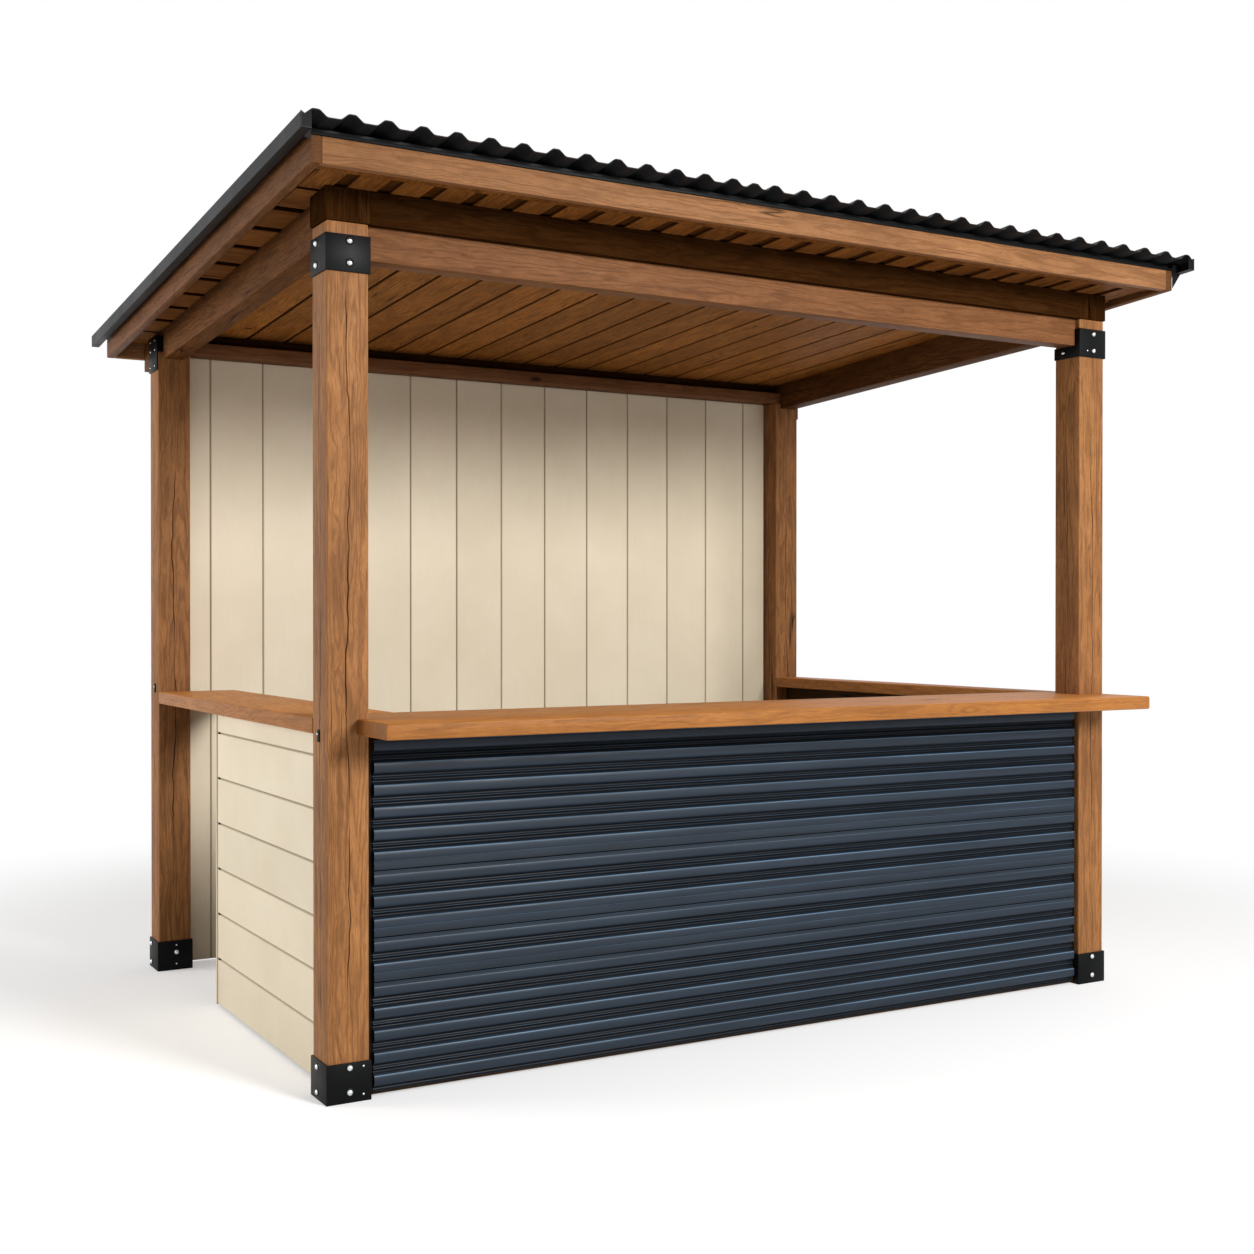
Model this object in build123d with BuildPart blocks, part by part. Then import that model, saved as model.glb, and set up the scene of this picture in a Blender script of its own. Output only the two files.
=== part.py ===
"""A free-standing market stall: a timber frame on steel shoes, under a corrugated roof that falls to the back.

Millimetres. The origin is on the ground under the middle of the stall, +X to the right along the
serving front, +Y to the back and +Z up. Nothing moves.
"""
import os
from math import atan, cos, radians, sin, tan

from build123d import *

# Frame
stall_width = 2950.0            # over the outer faces of the posts
stall_depth = 2000.0            # over the front and back faces of the posts
post_side = 120.0
ceiling_height = 2500.0         # underside of the boarding above the front faces of the posts
ceiling_pitch = 2.7             # degrees, falling to the back
front_plate_height = 92.0       # upper timber over the serving front, and the blocks at its ends
cap_block_lip = 5.0             # how far those blocks stand out round the post
front_beam_height = 95.0        # lower timber over the serving front
front_beam_thickness = 75.0
front_beam_setback = 20.0       # its front face behind the posts' front faces
side_beam_thickness = 75.0
side_beam_setback = 20.0        # its outer face inside the posts' outer faces
side_beam_front_depth = 129.0   # below the ceiling, at its front end
side_beam_back_depth = 112.0    # below the ceiling, in front of the back post
side_beam_tail_depth = 108.0    # below the ceiling, along its tail
back_seat_depth = 86.0          # back posts' tops below the ceiling: the beams are notched over them
back_rail_height = 45.0
back_plate_thickness = 75.0

# Steel at the feet and heads of the posts
shoe_height = 110.0
shoe_wall = 5.0
bracket_plate = 5.0
front_bracket_height = 102.0
front_bracket_seat = 42.0       # height of the leg under the front beam
back_strap_drop = 70.0          # below the back post's top
back_strap_rise = 60.0          # above the back post's top

# Roof edge and boarding
deck_thickness = 18.0           # ceiling and overhang boarding
eave_overhang = 212.0           # fascias in front of and behind the posts
verge_overhang = 116.0          # barge boards outside the posts
edge_board_thickness = 30.0
edge_board_front_height = 94.0  # under the roof sheet, at the front fascia
edge_board_back_height = 84.0   # under the roof sheet, at the back fascia
drip_strip_front_height = 24.0
drip_strip_back_height = 14.0
roof_gap_front = 60.0           # between boarding and sheet at the front fascia
roof_gap_back = 8.0             # between boarding and sheet at the back fascia

# Roof sheet
sheet_gauge = 2.5               # measured upright
sheet_end_reach = 60.0          # beyond the fascias
sheet_side_reach = 45.0         # beyond the barge boards
left_rib_count = 14
right_rib_count = 18
rib_base = 60.0
rib_top = 20.0
rib_height = 17.0
rib_radius = 14.0
lap_place = -255.0              # middle of the lap, across the roof
lap_pitch = 150.0               # between the ribs on either side of the lap
lap_rib_base = 52.0
lap_rib_height = 13.5
lap_flat = 8.0                  # from the lap's edge to the foot of its rib
lap_gap = 0.5
verge_trim_gauge = 2.5
verge_trim_height = 42.0
verge_trim_rise = 10.0          # above the sheet's underside
verge_trim_lip = 28.0
verge_trim_clear = 6.0          # from its inner face to the foot of the first rib

# Counters
counter_height = 1050.0
counter_thickness = 45.0
counter_overhang = 220.0        # in front of the posts
counter_inner_reach = 240.0     # behind the posts' front faces
counter_post_lap = 35.0         # in front of the left post
counter_end_gap = 6.0           # between the left counter and the front post
left_counter_width = 290.0

# Panels under the counters and the back wall
panel_ground_gap = 8.0
front_sheet_ground_gap = 15.0
front_sheet_end_gap = 12.0      # from each shoe
front_sheet_setback = 5.0       # crests behind the posts' front faces
front_sheet_gauge = 2.5
front_rib_pitch = 61.0          # at the least: the ribs are spread evenly
front_rib_depth = 14.0
front_rib_crest = 25.0
front_rib_slope = 9.0
front_rib_radius = 5.0
front_rail_thickness = 45.0
front_rail_height = 60.0
front_rail_ground_gap = 5.0
side_panel_setback = 45.0       # outer face inside the posts' outer faces
side_panel_thickness = 20.0
left_panel_length = 1115.0
left_panel_trim_width = 10.0
left_panel_trim_lip = 4.0       # how far it stands out on both faces
back_wall_setback = 10.0        # back face in front of the posts' back faces
back_wall_thickness = 20.0

# Places worked out from the sizes above
half_width = stall_width / 2
front_face = -stall_depth / 2
back_face = stall_depth / 2
front_post_back = front_face + post_side
back_post_front = back_face - post_side
inner_half = half_width - post_side
fascia_front = front_face - eave_overhang
fascia_back = back_face + eave_overhang
barge_half = half_width + verge_overhang
barge_inner_half = barge_half - edge_board_thickness
sheet_front = fascia_front - sheet_end_reach
sheet_back = fascia_back + sheet_end_reach
sheet_half = barge_half + sheet_side_reach
counter_underside = counter_height - counter_thickness
front_post_top = ceiling_height - front_plate_height
sides = (("left", -1), ("right", 1))


def ceiling_at(y):
    """Height of the boarding's underside."""
    return ceiling_height - (y - front_face) * tan(radians(ceiling_pitch))


back_post_top = ceiling_at(back_post_front) - back_seat_depth
roof_front_height = ceiling_at(fascia_front) + deck_thickness + roof_gap_front
roof_back_height = ceiling_at(fascia_back) + deck_thickness + roof_gap_back
roof_slope = (roof_front_height - roof_back_height) / (fascia_back - fascia_front)
roof_direction = (0, -cos(atan(roof_slope)), sin(atan(roof_slope)))
roof_length = (sheet_back - sheet_front) / cos(atan(roof_slope))


def roof_at(y):
    """Height of the roof sheet's underside."""
    return roof_front_height - (y - fascia_front) * roof_slope


def edge_foot_at(y):
    """Height of the edge boards' feet, on a line from the front fascia to the back one."""
    front_foot = roof_front_height - edge_board_front_height
    back_foot = roof_back_height - edge_board_back_height
    return front_foot + (y - fascia_front) / (fascia_back - fascia_front) * (back_foot - front_foot)


def inward(side, outer, inner):
    """X span on one side, from two distances inside the posts' outer face."""
    ends = (side * (half_width - outer), side * (half_width - inner))
    return min(ends), max(ends)


def box_between(x_span, y_span, z_span):
    """A squared piece between three pairs of faces."""
    with BuildSketch(Plane.XY.offset(z_span[0])) as foot:
        with Locations(((x_span[0] + x_span[1]) / 2, (y_span[0] + y_span[1]) / 2)):
            Rectangle(x_span[1] - x_span[0], y_span[1] - y_span[0])
    extrude(foot.sketch, amount=z_span[1] - z_span[0])


def length_along_x(x_span, outline):
    """A length of timber along X, from its outline in Y and Z."""
    with BuildSketch(Plane.YZ.offset(x_span[0])) as end:
        with BuildLine():
            Polyline(*outline, close=True)
        make_face()
    extrude(end.sketch, amount=x_span[1] - x_span[0])


def board_under_ceiling(y_span, low):
    """Outline of a piece from a level foot up to the boarding."""
    front, back = y_span
    return (front, low), (back, low), (back, ceiling_at(back)), (front, ceiling_at(front))


def deck(x_span, y_span):
    """A field of boarding that follows the ceiling's fall."""
    front, back = y_span
    outline = (
        (front, ceiling_at(front)),
        (back, ceiling_at(back)),
        (back, ceiling_at(back) + deck_thickness),
        (front, ceiling_at(front) + deck_thickness),
    )
    length_along_x(x_span, outline)


def rib_points(centre, base, top, height):
    """The four corners of one rib before its rounding."""
    return [
        (centre - base / 2, 0),
        (centre - top / 2, height),
        (centre + top / 2, height),
        (centre + base / 2, 0),
    ]


def keep(piece, name):
    """Name a finished piece and write it."""
    piece.part.label = name
    export_step(piece.part, f"parts/{name}.step")


os.makedirs("parts", exist_ok=True)

# Posts in their shoes
post_rows = (
    ("front", (front_face, front_post_back), front_post_top),
    ("back", (back_post_front, back_face), back_post_top),
)
for row, post_y, post_top in post_rows:
    for hand, side in sides:
        post_x = inward(side, 0, post_side)
        with BuildPart() as post:
            box_between(post_x, post_y, (shoe_wall, post_top))
        keep(post, f"{row}_{hand}_post")

        shoe_side = post_side + 2 * shoe_wall
        middle = (sum(post_x) / 2, sum(post_y) / 2)
        with BuildPart() as shoe:
            with BuildSketch():
                with Locations(middle):
                    Rectangle(shoe_side, shoe_side)
            extrude(amount=shoe_height)
            with BuildSketch(Plane.XY.offset(shoe_wall)):
                with Locations(middle):
                    Rectangle(post_side, post_side)
            extrude(amount=shoe_height - shoe_wall, mode=Mode.SUBTRACT)
        keep(shoe, f"{row}_{hand}_shoe")

# Timbers over the serving front
front_beam_y = (front_face + front_beam_setback, front_face + front_beam_setback + front_beam_thickness)
front_beam_z = (front_post_top - front_beam_height, front_post_top)
with BuildPart() as front_beam:
    box_between((-inner_half, inner_half), front_beam_y, front_beam_z)
keep(front_beam, "front_beam")

cap_y = (front_face - cap_block_lip, front_post_back + cap_block_lip)
for hand, side in sides:
    with BuildPart() as cap_block:
        length_along_x(
            inward(side, -cap_block_lip, post_side + cap_block_lip),
            board_under_ceiling(cap_y, front_post_top),
        )
    keep(cap_block, f"front_{hand}_cap_block")

front_plate_half = inner_half - cap_block_lip
front_plate_y = (front_face - cap_block_lip, front_beam_y[1])
with BuildPart() as front_plate:
    length_along_x(
        (-front_plate_half, front_plate_half),
        board_under_ceiling(front_plate_y, front_post_top),
    )
keep(front_plate, "front_plate")

# Side beams: each runs from its front block to the back fascia, notched over the back post
beam_front = cap_y[1]
beam_end = fascia_back - edge_board_thickness
beam_outline = (
    (beam_front, ceiling_at(beam_front)),
    (beam_front, ceiling_at(beam_front) - side_beam_front_depth),
    (back_post_front, ceiling_at(back_post_front) - side_beam_back_depth),
    (back_post_front, back_post_top),
    (back_face, back_post_top),
    (back_face, ceiling_at(back_face) - side_beam_tail_depth),
    (beam_end, ceiling_at(beam_end) - side_beam_tail_depth),
    (beam_end, ceiling_at(beam_end)),
)
beam_inner = side_beam_setback + side_beam_thickness
for hand, side in sides:
    with BuildPart() as side_beam:
        length_along_x(inward(side, side_beam_setback, beam_inner), beam_outline)
    keep(side_beam, f"{hand}_beam")

# Timbers on the back posts
back_half = half_width - beam_inner
back_rail_top = back_post_top + back_rail_height
with BuildPart() as back_rail:
    box_between((-back_half, back_half), (back_post_front, back_face), (back_post_top, back_rail_top))
keep(back_rail, "back_rail")

back_plate_y = (back_face - back_plate_thickness, back_face)
with BuildPart() as back_plate:
    length_along_x((-back_half, back_half), board_under_ceiling(back_plate_y, back_rail_top))
keep(back_plate, "back_plate")

# Brackets at the heads of the front posts: a front leg, an outer leg and an inner leg cut round the beam
bracket_low = front_beam_z[0] - front_bracket_seat
bracket_z = (bracket_low, bracket_low + front_bracket_height)
bracket_y = (front_face - bracket_plate, front_face)
for hand, side in sides:
    inner_leg_x = inward(side, post_side, post_side + bracket_plate)
    with BuildPart() as front_bracket:
        box_between(inward(side, -bracket_plate, post_side + bracket_plate), bracket_y, bracket_z)
        box_between(inward(side, -bracket_plate, 0), (front_face, front_post_back), bracket_z)
        box_between(inner_leg_x, (front_face, front_post_back), (bracket_low, front_beam_z[0]))
        box_between(inner_leg_x, (front_face, front_beam_y[0]), bracket_z)
    keep(front_bracket, f"front_{hand}_head_bracket")

# Straps at the heads of the back posts: a tall plate with a return to the side beam
strap_z = (back_post_top - back_strap_drop, back_post_top + back_strap_rise)
for hand, side in sides:
    with BuildPart() as back_strap:
        box_between(inward(side, -bracket_plate, 0), (back_post_front, back_face), strap_z)
        box_between(
            inward(side, 0, side_beam_setback),
            (back_post_front, back_post_front + bracket_plate),
            (back_post_top, strap_z[1]),
        )
    keep(back_strap, f"back_{hand}_head_bracket")

# Boarding: the ceiling between the wall lines and the four overhangs
soffit_front = fascia_front + edge_board_thickness
soffit_back = beam_end
ceiling_front = sum(front_plate_y) / 2
ceiling_back = sum(back_plate_y) / 2
ceiling_half = half_width - (side_beam_setback + beam_inner) / 2
with BuildPart() as ceiling:
    deck((-ceiling_half, ceiling_half), (ceiling_front, ceiling_back))
keep(ceiling, "ceiling")

with BuildPart() as front_soffit:
    deck((-barge_inner_half, barge_inner_half), (soffit_front, ceiling_front))
keep(front_soffit, "front_soffit")

with BuildPart() as back_soffit:
    deck((-barge_inner_half, barge_inner_half), (ceiling_back, soffit_back))
keep(back_soffit, "back_soffit")

for hand, side in sides:
    with BuildPart() as side_soffit:
        soffit_x = inward(side, half_width - barge_inner_half, half_width - ceiling_half)
        deck(soffit_x, (ceiling_front, ceiling_back))
    keep(side_soffit, f"{hand}_soffit")

# Edge boards of the roof: fascias between barge boards that run through, and strips that close the sheet's ends
roof_ends = (
    ("front", (fascia_front, soffit_front), edge_foot_at(fascia_front), drip_strip_front_height),
    ("back", (soffit_back, fascia_back), edge_foot_at(fascia_back), drip_strip_back_height),
)
for row, (near, far), foot, strip_height in roof_ends:
    strip_feet = (roof_at(near) - strip_height, roof_at(far) - strip_height)
    with BuildPart() as fascia:
        length_along_x(
            (-barge_inner_half, barge_inner_half),
            ((near, foot), (far, foot), (far, strip_feet[1]), (near, strip_feet[0])),
        )
    keep(fascia, f"{row}_fascia")

    with BuildPart() as drip_strip:
        length_along_x(
            (-barge_half, barge_half),
            ((near, strip_feet[0]), (far, strip_feet[1]), (far, roof_at(far)), (near, roof_at(near))),
        )
    keep(drip_strip, f"{row}_drip_strip")

barge_outline = (
    (fascia_front, edge_foot_at(fascia_front)),
    (fascia_back, edge_foot_at(fascia_back)),
    (fascia_back, roof_at(fascia_back) - drip_strip_back_height),
    (soffit_back, roof_at(soffit_back) - drip_strip_back_height),
    (soffit_back, roof_at(soffit_back)),
    (soffit_front, roof_at(soffit_front)),
    (soffit_front, roof_at(soffit_front) - drip_strip_front_height),
    (fascia_front, roof_at(fascia_front) - drip_strip_front_height),
)
for hand, side in sides:
    with BuildPart() as barge_board:
        length_along_x(inward(side, -verge_overhang, half_width - barge_inner_half), barge_outline)
    keep(barge_board, f"{hand}_barge_board")

# Corrugated roof in two sheets that lap left of the middle, seen from the back end and run to the front
eave = Plane(origin=(0, sheet_back, roof_at(sheet_back)), x_dir=(1, 0, 0), z_dir=(0, -1, 0))
sheet_edge = sheet_half - verge_trim_gauge
first_rib = -sheet_edge + verge_trim_clear + rib_base / 2
last_left_rib = lap_place - lap_pitch / 2
first_right_rib = lap_place + lap_pitch / 2
left_rib_pitch = (last_left_rib - first_rib) / (left_rib_count - 1)
right_rib_pitch = (-first_rib - first_right_rib) / (right_rib_count - 1)
left_ribs = [first_rib + count * left_rib_pitch for count in range(left_rib_count)]
right_ribs = [first_right_rib + count * right_rib_pitch for count in range(right_rib_count)]
lap_edge = lap_place - lap_rib_base / 2 - lap_flat

left_points = [(-sheet_edge, 0)]
for rib in left_ribs:
    left_points += rib_points(rib, rib_base, rib_top, rib_height)
left_points.append((lap_edge - lap_gap, 0))

right_points = [(lap_edge, 0)]
right_points += rib_points(lap_place, lap_rib_base, rib_top, lap_rib_height)
for rib in right_ribs:
    right_points += rib_points(rib, rib_base, rib_top, rib_height)
right_points.append((sheet_edge, 0))

for hand, points in (("left", left_points), ("right", right_points)):
    with BuildPart() as roof_sheet:
        with BuildSketch(eave):
            with BuildLine():
                under = FilletPolyline(*points, radius=rib_radius)
                over = FilletPolyline(*[(x, z + sheet_gauge) for x, z in points], radius=rib_radius)
                Line(under @ 0, over @ 0)
                Line(under @ 1, over @ 1)
            make_face()
        extrude(amount=roof_length, dir=roof_direction)
    keep(roof_sheet, f"{hand}_roof_sheet")

# Folded trims on the roof's sloping edges: an outer face against the sheet's edge and a lip turned in
trim_low = verge_trim_rise - verge_trim_height
for hand, side in sides:
    outer = side * sheet_half
    trim_points = (
        (outer, verge_trim_rise),
        (outer, trim_low),
        (outer - side * verge_trim_lip, trim_low),
        (outer - side * verge_trim_lip, trim_low + verge_trim_gauge),
        (outer - side * verge_trim_gauge, trim_low + verge_trim_gauge),
        (outer - side * verge_trim_gauge, verge_trim_rise),
    )
    with BuildPart() as verge_trim:
        with BuildSketch(eave):
            with BuildLine():
                Polyline(*trim_points, close=True)
            make_face()
        extrude(amount=roof_length, dir=roof_direction)
    keep(verge_trim, f"{hand}_verge_trim")

# Counters: the front one is let round both front posts, the side ones run back to the back posts
counter_front = front_face - counter_overhang
counter_inner = front_face + counter_inner_reach
front_counter_outline = (
    (-inner_half - counter_post_lap, counter_front),
    (half_width, counter_front),
    (half_width, front_face),
    (inner_half, front_face),
    (inner_half, front_post_back),
    (half_width, front_post_back),
    (half_width, counter_inner),
    (-inner_half, counter_inner),
    (-inner_half, front_face),
    (-inner_half - counter_post_lap, front_face),
)
with BuildPart() as front_counter:
    with BuildSketch(Plane.XY.offset(counter_underside)):
        with BuildLine():
            Polyline(*front_counter_outline, close=True)
        make_face()
    extrude(amount=counter_thickness)
keep(front_counter, "front_counter")

left_counter_inner = left_counter_width - half_width
left_counter_outline = (
    (-half_width, front_post_back + counter_end_gap),
    (-inner_half, front_post_back + counter_end_gap),
    (-inner_half, counter_inner),
    (left_counter_inner, counter_inner),
    (left_counter_inner, back_post_front),
    (-half_width, back_post_front),
)
with BuildPart() as left_counter:
    with BuildSketch(Plane.XY.offset(counter_underside)):
        with BuildLine():
            Polyline(*left_counter_outline, close=True)
        make_face()
    extrude(amount=counter_thickness)
keep(left_counter, "left_counter")

with BuildPart() as right_counter:
    box_between(
        (inner_half, half_width),
        (counter_inner, back_post_front),
        (counter_underside, counter_height),
    )
keep(right_counter, "right_counter")

# Corrugated sheet under the front counter, ribs level, on two rails between the posts
shoe_inner_half = inner_half - shoe_wall
front_sheet_half = shoe_inner_half - front_sheet_end_gap
crest_y = front_face + front_sheet_setback
valley_y = crest_y + front_rib_depth
front_rib_base = front_rib_crest + 2 * front_rib_slope
front_rib_space = counter_underside - front_sheet_ground_gap
front_rib_count = int(front_rib_space // front_rib_pitch)
front_rib_spread = front_rib_space / front_rib_count
front_points = [(valley_y, front_sheet_ground_gap)]
for count in range(front_rib_count):
    rib = front_sheet_ground_gap + (count + 0.5) * front_rib_spread
    front_points += [
        (valley_y - height, z) for z, height in rib_points(rib, front_rib_base, front_rib_crest, front_rib_depth)
    ]
front_points.append((valley_y, counter_underside))
with BuildPart() as front_sheet:
    with BuildSketch(Plane.YZ.offset(-front_sheet_half)):
        with BuildLine():
            outside = FilletPolyline(*front_points, radius=front_rib_radius)
            inside = FilletPolyline(*[(y + front_sheet_gauge, z) for y, z in front_points], radius=front_rib_radius)
            Line(outside @ 0, inside @ 0)
            Line(outside @ 1, inside @ 1)
        make_face()
    extrude(amount=2 * front_sheet_half)
keep(front_sheet, "front_sheet")

front_rail_y = (valley_y + front_sheet_gauge, valley_y + front_sheet_gauge + front_rail_thickness)
with BuildPart() as front_top_rail:
    box_between((-inner_half, inner_half), front_rail_y, (counter_underside - front_rail_height, counter_underside))
keep(front_top_rail, "front_top_rail")

with BuildPart() as front_bottom_rail:
    box_between(
        (-shoe_inner_half, shoe_inner_half),
        front_rail_y,
        (front_rail_ground_gap, front_rail_ground_gap + front_rail_height),
    )
keep(front_bottom_rail, "front_bottom_rail")

# Boarded side panels: the left one stops short and leaves an entrance, the right one is whole
panel_front = front_post_back + shoe_wall
panel_back = back_post_front - shoe_wall
panel_z = (panel_ground_gap, counter_underside)
panel_inner = side_panel_setback + side_panel_thickness
left_panel_back = panel_front + left_panel_length
with BuildPart() as left_panel:
    box_between(inward(-1, side_panel_setback, panel_inner), (panel_front, left_panel_back), panel_z)
keep(left_panel, "left_panel")

with BuildPart() as left_panel_trim:
    box_between(
        inward(-1, side_panel_setback - left_panel_trim_lip, panel_inner + left_panel_trim_lip),
        (left_panel_back, left_panel_back + left_panel_trim_width),
        panel_z,
    )
keep(left_panel_trim, "left_panel_trim")

with BuildPart() as right_panel:
    box_between(inward(1, side_panel_setback, panel_inner), (panel_front, panel_back), panel_z)
keep(right_panel, "right_panel")

# Boarded back wall between the back posts, up to the rail
wall_back = back_face - back_wall_setback
with BuildPart() as back_wall:
    box_between(
        (-shoe_inner_half, shoe_inner_half),
        (wall_back - back_wall_thickness, wall_back),
        (panel_ground_gap, back_post_top),
    )
keep(back_wall, "back_wall")
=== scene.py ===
"""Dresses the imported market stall: stained timber, boarding, painted panels, coated sheet and bolted steel.

Metres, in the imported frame. Nothing on the stall moves, so every piece rides on its one body.
"""

import random
from math import pi, radians, sin, tau

import bmesh
import bpy
from bpy.props import FloatProperty, FloatVectorProperty, PointerProperty
from bpy.types import Operator, Panel, PropertyGroup
from mathutils import Matrix, Vector


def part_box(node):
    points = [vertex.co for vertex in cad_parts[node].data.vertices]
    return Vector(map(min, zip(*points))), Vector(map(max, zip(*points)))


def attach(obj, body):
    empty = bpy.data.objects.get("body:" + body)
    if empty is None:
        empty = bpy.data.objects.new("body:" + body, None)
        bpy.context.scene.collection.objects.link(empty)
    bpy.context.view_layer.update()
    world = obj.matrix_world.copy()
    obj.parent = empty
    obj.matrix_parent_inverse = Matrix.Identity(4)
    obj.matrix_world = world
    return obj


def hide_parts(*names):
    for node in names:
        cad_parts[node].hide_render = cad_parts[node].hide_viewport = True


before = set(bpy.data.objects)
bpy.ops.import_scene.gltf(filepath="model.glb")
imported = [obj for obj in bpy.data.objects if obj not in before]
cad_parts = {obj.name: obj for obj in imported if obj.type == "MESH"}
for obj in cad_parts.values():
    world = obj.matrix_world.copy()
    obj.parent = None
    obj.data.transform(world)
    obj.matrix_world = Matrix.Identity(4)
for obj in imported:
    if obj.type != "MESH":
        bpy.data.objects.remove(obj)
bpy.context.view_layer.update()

bl_info = {
    "name": "Market stall",
    "version": (1, 0, 0),
    "blender": (4, 5, 0),
    "location": "3D View > Sidebar > Stall",
    "description": "Dresses the packed frame of a timber market stall and sets it on a pale stage",
    "category": "Object",
}

HANDS = (("left", -1), ("right", 1))
ROWS = (("front", -1), ("back", 1))
X, Y, Z = 0, 1, 2

# Half the thickness of the tongues that show between painted boards, painted dark as shade in the gaps
HALF_TONGUE = 0.003


def linear(code):
    """An sRGB hex colour as linear red, green and blue."""
    parts = [int(code[place:place + 2], 16) / 255 for place in (1, 3, 5)]
    return [part / 12.92 if part <= 0.04045 else ((part + 0.055) / 1.055) ** 2.4 for part in parts]


class StallSizes(PropertyGroup):
    """Sizes of what the frame leaves to its dressing."""

    post_arris: FloatProperty(
        name="Post arris", description="Rounding of the posts' long edges",
        default=0.005, unit="LENGTH")
    timber_arris: FloatProperty(
        name="Timber arris", description="Rounding of beams, plates and edge boards",
        default=0.003, unit="LENGTH")
    counter_arris: FloatProperty(
        name="Counter arris", description="Rounding of the counters' edges",
        default=0.006, unit="LENGTH")
    steel_arris: FloatProperty(
        name="Steel arris", description="Rounding of shoes and brackets",
        default=0.0012, unit="LENGTH")
    crack_width: FloatProperty(
        name="Crack width", description="Widest opening of a post's drying crack",
        default=0.0034, unit="LENGTH")
    crack_depth: FloatProperty(
        name="Crack depth", description="Deepest point of a post's drying crack",
        default=0.007, unit="LENGTH")
    wall_board: FloatProperty(
        name="Wall board", description="Pitch of the back wall's upright boards",
        default=0.207, unit="LENGTH")
    wall_groove: FloatProperty(
        name="Wall groove", description="Place of the wall's middle groove across the stall",
        default=-0.012, unit="LENGTH")
    panel_board: FloatProperty(
        name="Panel board", description="Pitch of the side panels' level boards",
        default=0.154, unit="LENGTH")
    panel_first_board: FloatProperty(
        name="Lowest panel board", description="Height of the side panels' lowest groove",
        default=0.165, unit="LENGTH")
    paint_chamfer: FloatProperty(
        name="Painted board chamfer", description="Chamfer along a painted board's edges",
        default=0.003, unit="LENGTH")
    board_gap: FloatProperty(
        name="Board gap", description="Opening between painted boards",
        default=0.0024, unit="LENGTH")
    deck_board: FloatProperty(
        name="Ceiling board", description="Pitch of the ceiling boards",
        default=0.150, unit="LENGTH")
    deck_groove: FloatProperty(
        name="Ceiling groove", description="Groove between ceiling boards",
        default=0.011, unit="LENGTH")
    deck_thickness: FloatProperty(
        name="Boarding thickness", description="Ceiling and overhang boarding, as in the frame",
        default=0.018, unit="LENGTH")
    deck_backing: FloatProperty(
        name="Boarding backing", description="Part of that thickness behind the grooves",
        default=0.005, unit="LENGTH")
    eave_board: FloatProperty(
        name="Eave board", description="Pitch of the boards under the eaves",
        default=0.124, unit="LENGTH")
    eave_margin: FloatProperty(
        name="Eave margin", description="Unslotted strip beside the fascias",
        default=0.070, unit="LENGTH")
    eave_slot: FloatProperty(
        name="Eave slot", description="Slot between the boards under the eaves",
        default=0.038, unit="LENGTH")
    eave_slot_depth: FloatProperty(
        name="Eave slot depth", description="Depth of those slots",
        default=0.008, unit="LENGTH")
    verge_board: FloatProperty(
        name="Verge board", description="Pitch of the boards under the roof's sloping edges",
        default=0.205, unit="LENGTH")
    verge_slot: FloatProperty(
        name="Verge slot", description="Slot between the boards under the sloping edges",
        default=0.040, unit="LENGTH")
    verge_margin: FloatProperty(
        name="Verge margin", description="Unslotted strip beside the barge boards",
        default=0.021, unit="LENGTH")
    front_rib: FloatProperty(
        name="Front rib", description="Least pitch of the front sheet's ribs, as in the frame",
        default=0.061, unit="LENGTH")
    front_crest: FloatProperty(
        name="Front crest", description="Flat of each front rib, as in the frame",
        default=0.025, unit="LENGTH")
    front_slope: FloatProperty(
        name="Front slope", description="Height of each side of a front rib, as in the frame",
        default=0.009, unit="LENGTH")
    front_bead: FloatProperty(
        name="Front bead", description="How far the bead between two front ribs stands out",
        default=0.006, unit="LENGTH")
    front_gauge: FloatProperty(
        name="Front gauge", description="Thickness of the front sheet, as in the frame",
        default=0.0025, unit="LENGTH")
    lining_thickness: FloatProperty(
        name="Lining thickness", description="Inner boards of the side panels",
        default=0.006, unit="LENGTH")
    rim: FloatProperty(
        name="Roof rim", description="Height of the folded rim under the roof sheet's ends",
        default=0.009, unit="LENGTH")
    rim_reach: FloatProperty(
        name="Roof rim reach", description="How far that rim stands out from the fascia",
        default=0.003, unit="LENGTH")
    left_end_drop: FloatProperty(
        name="Left end plate", description="Drop of the plate that closes the left trim's front end",
        default=0.035, unit="LENGTH")
    right_end_drop: FloatProperty(
        name="Right end plate", description="Drop of the plate that closes the right trim's front end",
        default=0.083, unit="LENGTH")
    bolt_head: FloatProperty(
        name="Bolt head", description="Diameter of the dome bolts in shoes and brackets",
        default=0.018, unit="LENGTH")
    pin_head: FloatProperty(
        name="Pin head", description="Diameter of the small fixings",
        default=0.0065, unit="LENGTH")
    roof_screw: FloatProperty(
        name="Roof screw", description="Diameter of the roof screws' washers",
        default=0.016, unit="LENGTH")


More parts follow.
